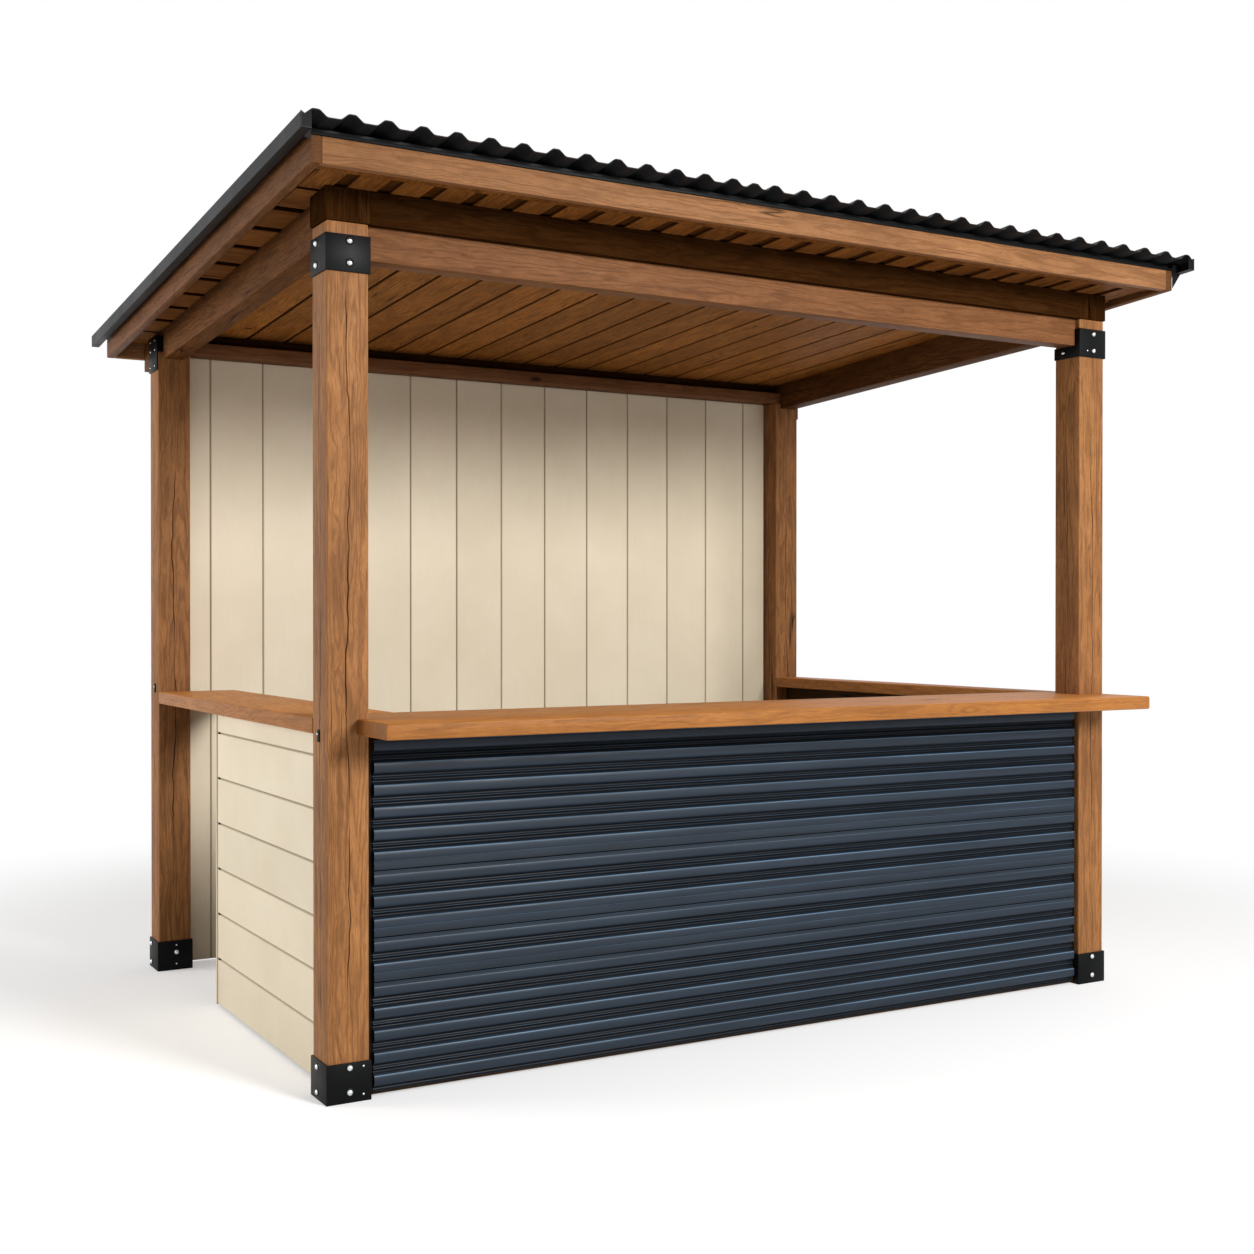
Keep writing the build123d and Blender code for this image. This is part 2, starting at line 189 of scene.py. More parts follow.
class StallColours(PropertyGroup):
    """Colours of the finishes, as they look in even white light."""

    posts: FloatVectorProperty(
        name="Posts", description="Brown stain on the posts",
        default=linear("#97673D"), subtype="COLOR")
    beams: FloatVectorProperty(
        name="Beams", description="Brown stain on the beams",
        default=linear("#795134"), subtype="COLOR")
    roof_edge: FloatVectorProperty(
        name="Roof edge", description="Brown stain on the fascias",
        default=linear("#875F40"), subtype="COLOR")
    barges: FloatVectorProperty(
        name="Barge boards", description="Stain on the sloping edge boards",
        default=linear("#664329"), subtype="COLOR")
    # Painted shade: a stain darkened to stand for the shade under the overhangs
    shaded: FloatVectorProperty(
        name="Under the roof", description="Dark stain on the timbers under the overhangs",
        default=linear("#341E0C"), subtype="COLOR")
    # Partly painted shade: a stain darkened to stand for the shade on the beams' outer sides
    side_beams: FloatVectorProperty(
        name="Side beams", description="Stain on the two beams that fall to the back",
        default=linear("#5E3B1E"), subtype="COLOR")
    soffits: FloatVectorProperty(
        name="Soffits", description="Stain on the boards under the overhangs",
        default=linear("#7C4E24"), subtype="COLOR")
    # Partly painted shade: a dark stain, darkened further to stand for the shade inside the panels and on the
    # rails under the front sheet
    lining: FloatVectorProperty(
        name="Lining", description="Dark stain on the inner side of the panels",
        default=linear("#3C2814"), subtype="COLOR")
    counters: FloatVectorProperty(
        name="Counters", description="Amber oil on the counters",
        default=linear("#A36A34"), subtype="COLOR")
    ceiling: FloatVectorProperty(
        name="Ceiling", description="Stain on the ceiling boards",
        default=linear("#94602C"), subtype="COLOR")
    paint: FloatVectorProperty(
        name="Cream paint", description="Paint on wall and panels",
        default=linear("#E9DBC0"), subtype="COLOR")
    # Painted shade: the dark paint colour of the grooves' chamfers and of the tongues in the gaps
    paint_groove_shade: FloatVectorProperty(
        name="Groove grime", description="Dulled paint in the grooves",
        default=linear("#7F6E4F"), subtype="COLOR")
    steel: FloatVectorProperty(
        name="Black steel", description="Powder coat on shoes and brackets",
        default=linear("#08090A"), subtype="COLOR")
    roof: FloatVectorProperty(
        name="Roof sheet", description="Coating on the roof sheets and trims",
        default=linear("#232426"), subtype="COLOR")
    front: FloatVectorProperty(
        name="Front sheet", description="Coating on the sheet under the counter",
        default=linear("#1B2632"), subtype="COLOR")
    zinc: FloatVectorProperty(
        name="Bolts", description="Bright zinc on the bolts",
        default=linear("#D3D6D8"), subtype="COLOR")
    floor: FloatVectorProperty(
        name="Floor", description="Pale floor of the stage",
        default=linear("#F0F0F0"), subtype="COLOR")


class StallStage(PropertyGroup):
    """Light and camera."""

    sky: FloatProperty(
        name="Sky", description="Even white light from all round",
        default=0.35)
    key: FloatProperty(
        name="Key", description="Wide soft lamp in front",
        default=700.0, unit="POWER")
    fill: FloatProperty(
        name="Fill", description="Wide soft lamp on the left",
        default=225.0, unit="POWER")
    floor_glow: FloatProperty(
        name="Floor lift", description="What the camera sees added to the floor, so that it reads white",
        default=0.33)
    focal_length: FloatProperty(
        name="Focal length", description="On a 36 mm wide image",
        default=45.148, unit="CAMERA")
    camera_place: FloatVectorProperty(
        name="Camera place", description="Eye point",
        default=(-2.9091, -5.1006, 1.3292), subtype="TRANSLATION")
    camera_turn: FloatProperty(
        name="Camera turn", description="Turned to the right from looking straight at the back wall",
        default=radians(30.077), unit="ROTATION")
    camera_dip: FloatProperty(
        name="Camera dip", description="Below the level",
        default=radians(0.357), unit="ROTATION")


def sizes():
    """The sizes set in the panel."""
    return bpy.context.scene.stall_sizes


def colours():
    """The colours set in the panel."""
    return bpy.context.scene.stall_colours


def add(tree, kind, inputs=None, out=0, **settings):
    """Adds a node and gives one of its outputs, or the node; its inputs take plain values or outputs."""
    node = tree.nodes.new(f"ShaderNode{kind}")
    for name, value in settings.items():
        setattr(node, name, value)
    for place, value in (inputs or {}).items():
        if isinstance(value, bpy.types.NodeSocket):
            tree.links.new(value, node.inputs[place])
        else:
            node.inputs[place].default_value = value
    return node if out is None else node.outputs[out]


def tinted(colour, red=1.0, green=1.0, blue=1.0):
    """A colour with each part scaled, with its alpha."""
    return colour[0] * red, colour[1] * green, colour[2] * blue, 1.0


def blank_material(name):
    """An empty node material."""
    material = bpy.data.materials.new(name)
    material.use_nodes = True
    material.node_tree.nodes.clear()
    return material, material.node_tree


def give_surface(tree, inputs):
    """Ends a material with its surface shader."""
    add(tree, "OutputMaterial", {"Surface": add(tree, "BsdfPrincipled", inputs)}, out=None)


def own_place(tree):
    """A board's number, and places on it that are shifted by it, so that no two boards look alike."""
    place = add(tree, "TexCoord", out="Object")
    board = add(tree, "Attribute", out="Fac", attribute_name="board")
    moved = add(tree, "VectorMath", {0: board, 1: (3.71, 5.37, 7.93), 2: place}, operation="MULTIPLY_ADD")
    return board, moved


def drawn_out(grain, times):
    """A scale that draws a pattern out along the grain."""
    scale = [1.0, 1.0, 1.0]
    scale[grain] = 1 / times
    return scale


def stained_softwood(name, colour, grain, depth=1.0, gloss=0.55, polish=0.08, top_light=0.0):
    """Planed softwood under a translucent stain.

    The stain lets the growth rings through as long flames, gathers in the fibres as fine dark streaks,
    goes near black in knots and drying checks, and is paler along the edges, partly worn and partly a
    painted highlight. Painted shade darkens open cracks and the slots between boards, and painted light
    makes a top paler still. The fibres are drawn coarser than the real half millimetre so that they show.
    """
    if name in bpy.data.materials:
        return bpy.data.materials[name]
    flame_width = 0.085
    rings_per_flame = 7.0
    streak_width = 0.011
    fibre_width = 0.0026
    patch_width = 0.16
    mottle_width = 0.045
    waver_width = 0.055
    waver_reach = 0.026
    knot_spacing = 0.30
    check_spacing = 0.062
    material, tree = blank_material(name)
    board, moved = own_place(tree)
    log = add(tree, "VectorMath", {0: moved, 1: drawn_out(grain, 2.6)}, operation="MULTIPLY")

    # The fibres wander a few millimetres to and fro
    waver = add(
        tree, "TexNoise", {"Vector": log, "Scale": 1 / waver_width, "Detail": 2.0, "Roughness": 0.5},
        out="Color")
    bent = add(tree, "VectorMath", {0: waver, 1: [waver_reach] * 3, 2: moved}, operation="MULTIPLY_ADD")
    along = add(tree, "VectorMath", {0: bent, 1: drawn_out(grain, 17)}, operation="MULTIPLY")
    straight = add(tree, "VectorMath", {0: moved, 1: drawn_out(grain, 45)}, operation="MULTIPLY")
    patterns = (
        (along, flame_width, 2.0, 0.45),
        (along, streak_width, 3.0, 0.6),
        (along, fibre_width, 2.0, 0.7),
        (log, patch_width, 3.0, 0.5),
        (log, mottle_width, 4.0, 0.6),
        (straight, check_spacing, 1.0, 0.5),
    )
    flame, streak, fibre, patch, mottle, split = [
        add(tree, "TexNoise", {"Vector": place, "Scale": 1 / width, "Detail": detail, "Roughness": rough})
        for place, width, detail, rough in patterns]

    # Knots: a few cells' middles, which also push the rings aside
    cell = add(tree, "TexVoronoi", {"Vector": log, "Scale": 1 / knot_spacing}, out=None)
    near = add(
        tree, "MapRange", {"Value": cell.outputs["Distance"], 1: 0.20, 2: 0.01},
        interpolation_type="SMOOTHSTEP")
    chosen = add(tree, "Math", {0: cell.outputs["Color"], 1: 0.52}, operation="GREATER_THAN")
    swell = add(tree, "Math", {0: near, 1: chosen}, operation="MULTIPLY")
    knot = add(tree, "MapRange", {"Value": swell, 1: 0.84, 2: 0.97}, interpolation_type="SMOOTHSTEP")

    # Growth rings: level lines of a slow noise drawn out along the grain
    pushed = add(tree, "Math", {0: swell, 1: 0.40, 2: flame}, operation="MULTIPLY_ADD")
    turns = add(tree, "Math", {0: pushed, 1: tau * rings_per_flame * 2}, operation="MULTIPLY")
    wave = add(tree, "Math", {0: turns}, operation="SINE")
    ring = add(tree, "MapRange", {"Value": wave, 1: 0.05}, interpolation_type="SMOOTHSTEP")

    # Drying checks: hairlines where a drawn-out noise passes its middle value, in some places only
    off_line = add(tree, "Math", {0: split, 1: 0.5}, operation="SUBTRACT")
    off_line = add(tree, "Math", {0: off_line}, operation="ABSOLUTE")
    hairline = add(tree, "MapRange", {"Value": off_line, 1: 0.007, 2: 0.001})
    where = add(tree, "MapRange", {"Value": patch, 1: 0.53, 2: 0.62, 4: depth})
    check = add(tree, "Math", {0: hairline, 1: where}, operation="MULTIPLY")
    # Painted shade marked on the mesh, inside open cracks and in the slots between boards, joins the checks
    painted_shade = add(tree, "Attribute", out="Fac", attribute_name="painted_shade")
    checks_and_painted_shade = add(tree, "Math", {0: check, 1: painted_shade}, operation="MAXIMUM")

    # End grain soaks up more stain
    facing = add(tree, "SeparateXYZ", {0: add(tree, "NewGeometry", out="Normal")}, out=None)
    end_on = add(tree, "Math", {0: facing.outputs[grain]}, operation="ABSOLUTE")
    end_share = add(tree, "MapRange", {"Value": end_on, 1: 0.75, 2: 0.95, 4: 0.45})

    swing = 0.5 * depth ** 2
    tone = add(tree, "Math", {0: patch, 1: mottle}, operation="ADD")
    tone = add(tree, "MapRange", {"Value": tone, 1: 0.70, 2: 1.30, 3: 0.5 - swing, 4: 0.5 + swing})
    ring_share = add(tree, "Math", {0: ring, 1: 0.5 * depth}, operation="MULTIPLY")
    streak_share = add(tree, "MapRange", {"Value": streak, 1: 0.50, 2: 0.74, 4: 0.62 * depth})
    fibre_share = add(tree, "MapRange", {"Value": fibre, 1: 0.46, 2: 0.72, 4: 0.60 * depth})
    swell_share = add(tree, "Math", {0: swell, 1: 0.38}, operation="MULTIPLY")
    # Eased edges are paler: partly wear, partly a painted highlight
    worn_and_highlight = add(tree, "Attribute", out="Fac", attribute_name="arris")
    worn_and_highlight_share = add(tree, "Math", {0: worn_and_highlight, 1: 0.25}, operation="MULTIPLY")
    pale = tinted(colour, 1.34, 1.33, 1.26)
    deep = tinted(colour, 0.46, 0.40, 0.33)
    dark = tinted(colour, 0.10, 0.08, 0.06)
    layers = (
        (tone, pale), (ring_share, deep), (streak_share, deep), (fibre_share, deep), (swell_share, deep),
        (knot, dark), (worn_and_highlight_share, pale), (checks_and_painted_shade, dark), (end_share, deep))
    stain = tinted(colour, 0.76, 0.72, 0.66)
    for share, over in layers:
        stain = add(tree, "Mix", {0: share, 6: stain, 7: over}, out=2, data_type="RGBA")

    # No two boards took the stain alike
    own = add(tree, "TexWhiteNoise", {"W": board}, out="Value", noise_dimensions="1D")
    own = add(tree, "MapRange", {"Value": own, 3: 0.86, 4: 1.12})
    # Painted light: a top is made paler, as if lit from above
    top = facing.outputs["Z"]
    lit_top = add(tree, "MapRange", {"Value": top, 1: 0.75, 2: 0.95, 3: 1.0, 4: 1.0 + top_light})
    own = add(tree, "Math", {0: own, 1: lit_top}, operation="MULTIPLY")
    finished = add(tree, "VectorMath", {0: stain, "Scale": own}, operation="SCALE")
    dull = add(tree, "MapRange", {"Value": fibre, 1: 0.3, 2: 0.7, 3: gloss - 0.06, 4: gloss + 0.14})
    relief = add(tree, "Math", {0: ring_share, 1: fibre_share}, operation="ADD")
    relief = add(tree, "Math", {0: checks_and_painted_shade, 1: 2.0, 2: relief}, operation="MULTIPLY_ADD")
    bump = add(tree, "Bump", {"Height": relief, "Strength": 0.35, "Distance": 0.0011}, invert=True)
    give_surface(
        tree, {"Base Color": finished, "Roughness": dull, "Specular IOR Level": polish, "Normal": bump})
    return material


def painted_boards(name, grain):
    """Softwood boards under two brushed coats of cream paint.

    The paint hides the colour of the wood and leaves its grain as faint ridges along the board, a little
    cloudier from brush to brush. Painted shade darkens the chamfers along the grooves and the tongues seen
    in the gaps. The ridges are drawn coarser than the real millimetre so that they show.
    """
    if name in bpy.data.materials:
        return bpy.data.materials[name]
    ridge_width = 0.006
    cloud_width = 0.35
    paint = colours().paint
    material, tree = blank_material(name)
    board, moved = own_place(tree)
    along = add(tree, "VectorMath", {0: moved, 1: drawn_out(grain, 22)}, operation="MULTIPLY")
    ridge = add(
        tree, "TexNoise", {"Vector": along, "Scale": 1 / ridge_width, "Detail": 3.0, "Roughness": 0.6})
    cloud = add(
        tree, "TexNoise", {"Vector": moved, "Scale": 1 / cloud_width, "Detail": 3.0, "Roughness": 0.55})
    cloud_share = add(tree, "MapRange", {"Value": cloud, 1: 0.35, 2: 0.7, 4: 0.9})
    ridge_share = add(tree, "MapRange", {"Value": ridge, 1: 0.5, 2: 0.75, 4: 0.22})
    # Painted shade on the chamfers along the grooves and on the tongues in the gaps
    groove = add(tree, "Attribute", out="Fac", attribute_name="arris")
    sunk = add(tree, "Attribute", out="Fac", attribute_name="painted_shade")
    groove_shade_share = add(tree, "Math", {0: groove, 1: 0.35, 2: sunk}, operation="MULTIPLY_ADD")
    layers = (
        (cloud_share, tinted(paint, 0.91, 0.895, 0.86)),
        (ridge_share, tinted(paint, 0.86, 0.84, 0.79)),
        (groove_shade_share, tinted(colours().paint_groove_shade)),
    )
    coat = tinted(paint)
    for share, over in layers:
        coat = add(tree, "Mix", {0: share, 6: coat, 7: over}, out=2, data_type="RGBA")
    own = add(tree, "TexWhiteNoise", {"W": board}, out="Value", noise_dimensions="1D")
    own = add(tree, "MapRange", {"Value": own, 3: 0.96, 4: 1.02})
    finished = add(tree, "VectorMath", {0: coat, "Scale": own}, operation="SCALE")
    bump = add(tree, "Bump", {"Height": ridge, "Strength": 0.18, "Distance": 0.0005})
    give_surface(tree, {"Base Color": finished, "Roughness": 0.55, "Normal": bump})
    return material


def powder_coated_steel(name, colour, gloss, grit=0.004):
    """Steel sheet under a baked powder or roll coat.

    The coat is even and near black, with a fine orange-peel skin, edges made paler by rubbed wear and a
    painted highlight, and a breath of dust. The grit is drawn coarser than the real half millimetre so that
    it shows.
    """
    if name in bpy.data.materials:
        return bpy.data.materials[name]
    dust_width = 0.22
    material, tree = blank_material(name)
    place = add(tree, "TexCoord", out="Object")
    peel = add(tree, "TexNoise", {"Vector": place, "Scale": 1 / grit, "Detail": 2.0, "Roughness": 0.6})
    dust = add(
        tree, "TexNoise", {"Vector": place, "Scale": 1 / dust_width, "Detail": 4.0, "Roughness": 0.65})
    dust_share = add(tree, "MapRange", {"Value": dust, 1: 0.42, 2: 0.75, 4: 0.55})
    # Eased edges are paler: partly rubbed wear, partly a painted highlight
    rubbed_and_highlight = add(tree, "Attribute", out="Fac", attribute_name="arris")
    rubbed_and_highlight_share = add(tree, "Math", {0: rubbed_and_highlight, 1: 0.6}, operation="MULTIPLY")
    layers = (
        (dust_share, tinted(colour, 1.7, 1.68, 1.62)),
        (rubbed_and_highlight_share, tinted(colour, 3.2, 3.2, 3.2)),
    )
    coat = tinted(colour, 0.88, 0.88, 0.88)
    for share, over in layers:
        coat = add(tree, "Mix", {0: share, 6: coat, 7: over}, out=2, data_type="RGBA")
    dull = add(tree, "MapRange", {"Value": dust, 1: 0.3, 2: 0.75, 3: gloss - 0.05, 4: gloss + 0.13})
    bump = add(tree, "Bump", {"Height": peel, "Strength": 0.12, "Distance": 0.0004})
    give_surface(tree, {"Base Color": coat, "Roughness": dull, "Specular IOR Level": 0.09, "Normal": bump})
    return material


def black_steel():
    """The black coat of shoes, brackets, strips and washers."""
    return powder_coated_steel("steel_black_powder_coat", colours().steel, 0.46)


def coated_front_sheet(name):
    """Roll-formed steel sheet in a slate blue coat.

    The coat is satin and carries long faint streaks from rolling and rain that run with the ribs. Painted
    shade darkens the hollows and dims their reflections, and the upper edges of ribs and beads take a
    painted highlight in rubbed patches.
    """
    if name in bpy.data.materials:
        return bpy.data.materials[name]
    streak_width = 0.018
    cloud_width = 0.16
    front = colours().front
    material, tree = blank_material(name)
    place = add(tree, "TexCoord", out="Object")
    along = add(tree, "VectorMath", {0: place, 1: drawn_out(X, 30)}, operation="MULTIPLY")
    streak = add(
        tree, "TexNoise", {"Vector": along, "Scale": 1 / streak_width, "Detail": 4.0, "Roughness": 0.65})
    cloud = add(tree, "TexNoise", {"Vector": place, "Scale": 1 / cloud_width, "Detail": 3.0})
    streak_share = add(tree, "MapRange", {"Value": streak, 1: 0.36, 2: 0.7})
    # Painted shade: hollows are darkened and reflect less
    sunk = add(tree, "Attribute", out="Fac", attribute_name="painted_shade")
    groove_shade_share = add(tree, "MapRange", {"Value": sunk, 1: 0.12, 2: 0.80})

    # Painted highlight, in patches like rubbed wear: edges that look up and stand proud
    rubbed_and_highlight = add(tree, "Attribute", out="Fac", attribute_name="arris")
    upward = add(tree, "SeparateXYZ", {0: add(tree, "NewGeometry", out="Normal")}, out="Z")
    conditions = (
        {"Value": upward, 1: 0.15, 2: 0.5, 4: 0.85},
        {"Value": sunk, 1: 0.30, 2: 0.85, 3: 1.0, 4: 0.0},
        {"Value": streak_share, 3: 0.35},
    )
    for condition in conditions:
        share = add(tree, "MapRange", condition)
        rubbed_and_highlight = add(tree, "Math", {0: rubbed_and_highlight, 1: share}, operation="MULTIPLY")
    layers = (
        (streak_share, tinted(front, 1.32, 1.32, 1.30)),
        (groove_shade_share, tinted(front, 0.22, 0.22, 0.22)),
        (rubbed_and_highlight, tinted(front, 13.0, 12.4, 11.0)),
    )
    coat = tinted(front, 0.74, 0.74, 0.75)
    for share, over in layers:
        coat = add(tree, "Mix", {0: share, 6: coat, 7: over}, out=2, data_type="RGBA")
    dull = add(tree, "MapRange", {"Value": cloud, 1: 0.3, 2: 0.7, 3: 0.36, 4: 0.52})
    hollow_reflection_shade = add(tree, "MapRange", {"Value": sunk, 1: 0.25, 2: 0.85, 3: 0.26, 4: 0.16})
    bump = add(tree, "Bump", {"Height": streak, "Strength": 0.2, "Distance": 0.0008})
    give_surface(tree, {"Base Color": coat, "Roughness": dull, "Specular IOR Level": hollow_reflection_shade, "Normal": bump})
    return material


def bright_zinc(name):
    """Zinc-plated steel bolt heads: pale, half-bright metal with a slightly clouded plating."""
    if name in bpy.data.materials:
        return bpy.data.materials[name]
    cloud_width = 0.006
    material, tree = blank_material(name)
    place = add(tree, "TexCoord", out="Object")
    cloud = add(tree, "TexNoise", {"Vector": place, "Scale": 1 / cloud_width, "Detail": 2.0})
    dull = add(tree, "MapRange", {"Value": cloud, 1: 0.3, 2: 0.7, 3: 0.22, 4: 0.4})
    give_surface(tree, {"Base Color": tinted(colours().zinc), "Metallic": 1.0, "Roughness": dull})
    return material


def new_shape(node=None):
    """A bmesh with the marks that the finishes read: board number, eased edges and painted shade.

    It starts empty, or as a frame piece's shape with its loose triangles joined up.
    """
    shape = bmesh.new()
    if node:
        shape.from_mesh(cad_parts[node].data)
    shape.faces.layers.float.new("board")
    shape.faces.layers.float.new("arris")
    shape.verts.layers.float.new("painted_shade")
    if node:
        bmesh.ops.remove_doubles(shape, verts=shape.verts, dist=1e-5)
        bmesh.ops.dissolve_limit(shape, angle_limit=radians(0.5), verts=shape.verts, edges=shape.edges)
    return shape


def whole(shape):
    """All of a shape, for an operator that takes geometry."""
    return shape.verts[:] + shape.edges[:] + shape.faces[:]


def sided_box(node, side):
    """A piece's corners and middle, and where its outer and inner faces lie on the left (-1) or right (1)."""
    low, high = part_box(node)
    outer, inner = (low.x, high.x) if side < 0 else (high.x, low.x)
    return low, high, (low + high) / 2, outer, inner


def name_board(shape, number):
    """Gives the faces that belong to no board yet this board's number."""
    board = shape.faces.layers.float["board"]
    for face in shape.faces:
        if face[board] == 0:
            face[board] = number


def round_edges(shape, edges, width, segments=2):
    """Rounds edges and marks the new faces as worn."""
    made = bmesh.ops.bevel(
        shape, geom=list(edges), offset=width, offset_type="OFFSET", affect="EDGES", segments=segments,
        profile=0.5, material=-1, clamp_overlap=True)
    arris = shape.faces.layers.float["arris"]
    for face in made["faces"]:
        face[arris] = 1.0


def sharp_edges(shape, angle=30):
    """Edges where the surface turns by more than an angle in degrees."""
    return [edge for edge in shape.edges if edge.is_manifold and edge.calc_face_angle() > radians(angle)]


def add_block(shape, low, high, arris, number, segments=1, sunk=0.0):
    """Adds a squared board between two corners, with its edges eased; a sunk one is darkened as painted
    shade.
    """
    made = bmesh.ops.create_cube(shape, size=1.0)["verts"]
    for vert in made:
        vert[shape.verts.layers.float["painted_shade"]] = sunk
    bmesh.ops.scale(shape, vec=Vector(high) - Vector(low), verts=made)
    bmesh.ops.translate(shape, vec=(Vector(high) + Vector(low)) / 2, verts=made)
    if arris:
        round_edges(shape, {edge for vert in made for edge in vert.link_edges}, arris, segments)
    name_board(shape, number)


def shade_above(shape, level, share):
    """Paints shade on what lies above a level: the sides and backs of the slots in boarding seen from below.
    """
    sunk = shape.verts.layers.float["painted_shade"]
    for vert in shape.verts:
        if vert.co.z > level:
            vert[sunk] = share


def lean(shape, slope, front):
    """Shears level boards to a fall towards the back."""
    fall = Matrix.Identity(4)
    fall[2][1] = -slope
    fall[2][3] = slope * front
    bmesh.ops.transform(shape, matrix=fall, verts=shape.verts)


def add_turned(shape, outline, place, outward, steps=14):
    """Adds a small turned form from (radius, height) points, standing on a face that looks outward."""
    points = [shape.verts.new((radius, 0, height)) for radius, height in outline]
    edges = [shape.edges.new(pair) for pair in zip(points, points[1:])]
    before = set(shape.faces)
    bmesh.ops.spin(
        shape, geom=points + edges, cent=(0, 0, 0), axis=(0, 0, 1), dvec=(0, 0, 0), angle=tau, steps=steps,
        use_merge=True, use_normal_flip=False)
    new_faces = [face for face in shape.faces if face not in before]
    verts = list({vert for face in new_faces for vert in face.verts})
    bmesh.ops.remove_doubles(shape, verts=verts, dist=1e-6)
    new_faces = [face for face in shape.faces if face not in before]
    bmesh.ops.recalc_face_normals(shape, faces=new_faces)
    verts = list({vert for face in new_faces for vert in face.verts})
    turn = Vector((0, 0, 1)).rotation_difference(Vector(outward)).to_matrix().to_4x4()
    bmesh.ops.transform(shape, matrix=Matrix.Translation(place) @ turn, verts=verts)


def finish(name, shape, material, slot, *nodes, sharp=35):
    """Turns a shape into a piece of the stall, in place of the frame pieces that it stands for."""
    mesh = bpy.data.meshes.new(name)
    shape.to_mesh(mesh)
    shape.free()
    mesh.shade_smooth()
    mesh.set_sharp_from_angle(angle=radians(sharp))
    mesh.materials.append(material)
    piece = bpy.data.objects.new(name, mesh)
    bpy.context.scene.collection.objects.link(piece)
    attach(piece, "root")
    if nodes:
        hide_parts(*nodes)
    return piece


def dress(node, material, slot, arris, number, segments=2):
    """Stands an eased copy in for a frame piece."""
    shape = new_shape(node)
    round_edges(shape, sharp_edges(shape), arris, segments)
    name_board(shape, number)
    return finish(f"{node}_finished", shape, material, slot, node)


def open_cracks(shape, low, high, seed):
    """Opens a wandering drying crack down each long face of a post, with painted shade inside it."""
    rng = random.Random(seed)
    half = sizes().crack_width / 2
    middle = (low + high) / 2
    length = high.z - low.z
    mark = shape.verts.layers.float["painted_shade"]
    # Painted shade: how dark the crack's middle and its walls are painted
    darkness = (1.0, 0.4, 0.0)
    off_middle = 0.008
    sway = 0.012
    jolt = 0.0018
    steps = 84
    for step in range(1, steps):
        level = low.z + length * step / steps
        bmesh.ops.bisect_plane(shape, geom=whole(shape), plane_co=(0, 0, level), plane_no=(0, 0, 1))
    for across, outward in ((X, Y), (Y, X)):
        line = middle[across] + rng.uniform(-off_middle, off_middle)
        axis = Vector((0, 0, 0))
        axis[across] = 1.0
        for side in (-2, -1, 0, 1, 2):
            spot = axis * (line + side * half)
            bmesh.ops.bisect_plane(shape, geom=whole(shape), plane_co=spot, plane_no=axis)
        for face, inward in ((low[outward], 1), (high[outward], -1)):
            waves = [(sway / rate, rate, rng.uniform(0, tau)) for rate in (2.3, 5.1, 11.7, 19.3)]
            starts = rng.uniform(0.0, 0.12)
            ends = rng.uniform(0.75, 1.0)
            shift = rng.uniform(0, tau)
            jolts = [rng.uniform(-jolt, jolt) for step in range(steps + 1)]
            for vert in shape.verts:
                height = (vert.co.z - low.z) / length
                on_face = abs(vert.co[outward] - face) <= 1e-5
                if not on_face or abs(vert.co[across] - line) > half * 2.05 or not 0.004 < height < 0.996:
                    continue
                share = (height - starts) / (ends - starts)
                gape = sin(pi * share) ** 0.4 if 0 < share < 1 else 0.0
                gape *= max(0.0, 0.68 + 0.36 * sin(17 * height + shift) + 0.25 * sin(61 * height + 2 * shift))
                gape = min(1.0, gape)
                side = round((vert.co[across] - line) / half)
                wander = sum(size * sin(rate * tau * height + phase) for size, rate, phase in waves)
                wander += jolts[round(height * steps)]
                vert.co[across] = line + wander + side * half * (0.3 + 0.7 * gape)
                if side == 0:
                    vert.co[outward] += inward * sizes().crack_depth * gape
                # Painted shade, deepest where the crack gapes widest
                vert[mark] = min(1.0, 2.5 * gape) * darkness[abs(side)]


class STALL_OT_posts(Operator):
    """Stained posts with eased edges and drying cracks"""

    bl_idname = "stall.posts"
    bl_label = "Posts"

    def execute(self, context):
        material = stained_softwood("larch_brown_stain_upright", colours().posts, Z, polish=0.16)
        # Each number picks a post's own tone of stain; the back left post's darker tone is painted shade
        posts = (
            ("front_left_post", 24),
            ("front_right_post", 28),
            ("back_left_post", 1),
            ("back_right_post", 23),
        )
        for node, number in posts:
            low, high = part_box(node)
            shape = new_shape(node)
            round_edges(shape, sharp_edges(shape), sizes().post_arris, 3)
            open_cracks(shape, low, high, seed=40 + number)
            name_board(shape, number)
            finish(f"{node}_finished", shape, material, "post_timber", node)
        return {"FINISHED"}


class STALL_OT_beams(Operator):
    """Beams, plates, cap blocks, fascias and barge boards"""

    bl_idname = "stall.beams"
    bl_label = "Beams and roof edge"

    def execute(self, context):
        beam = stained_softwood("larch_brown_stain_beam", colours().beams, X, depth=0.8)
        edge_across = stained_softwood("larch_brown_stain_fascia", colours().roof_edge, X, depth=0.8)
        edge_falling = stained_softwood("larch_brown_stain_barge", colours().barges, Y, depth=0.8)
        # Plates and cap blocks take a stain darkened as painted shade under the overhangs
        dark_across = stained_softwood("larch_dark_stain_across", colours().shaded, X, polish=0.0)
        # The side beams' stain is darkened in part as painted shade
        side_beam = stained_softwood("larch_brown_stain_side_beam", colours().side_beams, Y, polish=0.05)
        dark_upright = stained_softwood("larch_dark_stain_upright", colours().shaded, Z, polish=0.0)
        timbers = (
            (beam, ("front_beam", "back_rail")),
            (edge_across, ("front_fascia", "back_fascia")),
            (edge_falling, ("left_barge_board", "right_barge_board")),
            (dark_across, ("front_plate", "back_plate")),
            (side_beam, ("left_beam", "right_beam")),
            (dark_upright, ("front_left_cap_block", "front_right_cap_block")),
        )
        number = 10
        for material, nodes in timbers:
            for node in nodes:
                number += 1
                dress(node, material, "roof_timber", sizes().timber_arris, number)
        return {"FINISHED"}


